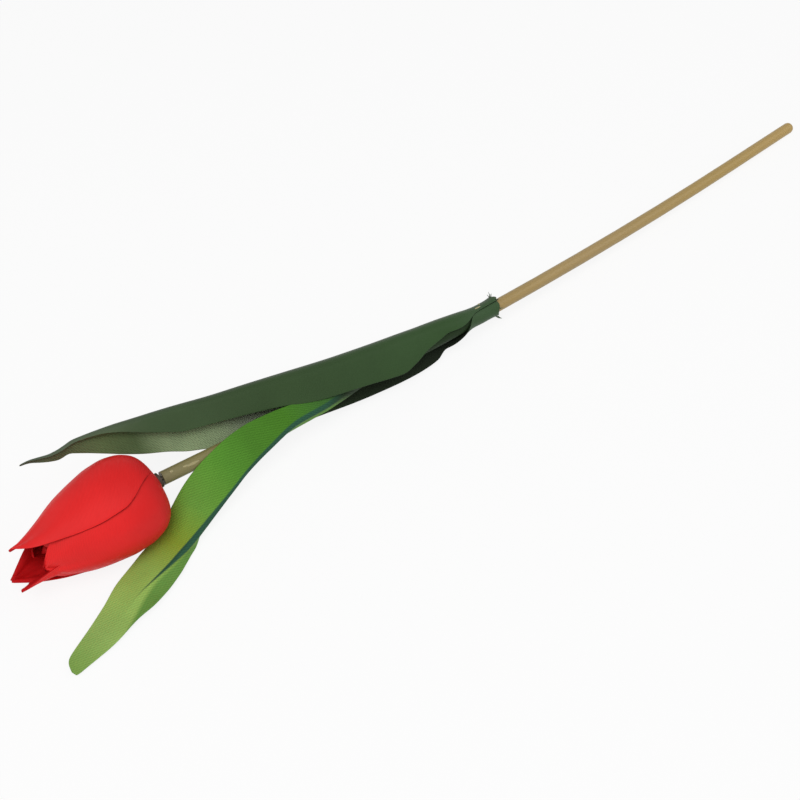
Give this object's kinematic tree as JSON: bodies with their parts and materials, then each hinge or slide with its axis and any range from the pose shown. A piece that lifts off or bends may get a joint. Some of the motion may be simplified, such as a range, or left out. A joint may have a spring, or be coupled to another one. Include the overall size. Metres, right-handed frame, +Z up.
{
  "type": "artificial tulip",
  "caption": "Artificial tulip lying on its side: closed red cloth bloom, wired plastic stem, long folded dark leaf and a broad bright leaf wrapped round the stem.",
  "frame": {"origin": "On the table, under the middle of the whole flower as it lies.", "axes": "+Z up from the table, -X towards the bloom, +X towards the stem's foot, -Y towards the broad bright leaf."},
  "size_m": [0.4074, 0.0594, 0.0333],
  "materials": {
    "stem_plastic": "satin olive-tan extruded plastic",
    "core_wire": "plain drawn wire",
    "rib_wire": "green coated thin wire",
    "dark_leaf_cloth": "stiffened woven cloth, dark green, smooth outside and lighter woven inside",
    "bright_leaf_cloth": "stiffened woven cloth, bright green",
    "petal_cloth": "stiffened woven cloth, red with a soft sheen",
    "bud_foam": "moulded foam, dyed dark red",
    "plug_plastic": "moulded plastic",
    "hot_glue": "set hot glue"
  },
  "bodies": {
    "stem": {"stem_tube": "stem_plastic", "stem_wire": "core_wire", "long_leaf_sheath": "dark_leaf_cloth", "short_leaf_sheath": "bright_leaf_cloth", "sheath_glue": "hot_glue"},
    "bloom": {"bloom_plug": "plug_plastic", "bud_core": "bud_foam", "outer_petal_1": "petal_cloth", "outer_petal_2": "petal_cloth", "outer_petal_3": "petal_cloth", "inner_petal_1": "petal_cloth", "inner_petal_2": "petal_cloth", "inner_petal_3": "petal_cloth"},
    "long_leaf": {"long_leaf_blade": "dark_leaf_cloth", "long_leaf_rib": "rib_wire"},
    "short_leaf": {"short_leaf_blade": "bright_leaf_cloth", "short_leaf_rib": "rib_wire"}
  },
  "joints": [
    {"name": "bloom_turn", "type": "hinge", "parent": "stem", "child": "bloom", "pos_m": [-0.14415, 0.00463, 0.01733], "axis": [-0.998, 0.0349, -0.0523], "continuous": true},
    {"name": "long_leaf_bend", "type": "hinge", "parent": "stem", "child": "long_leaf", "pos_m": [-0.00914, -0.00425, 0.01438], "axis": [0.0151, 0.7077, -0.7064], "range_deg": [0, 35]},
    {"name": "short_leaf_bend", "type": "hinge", "parent": "stem", "child": "short_leaf", "pos_m": [-0.06905, -0.00692, 0.01318], "axis": [0, 0, 1], "range_deg": [0, 30]}
  ]
}
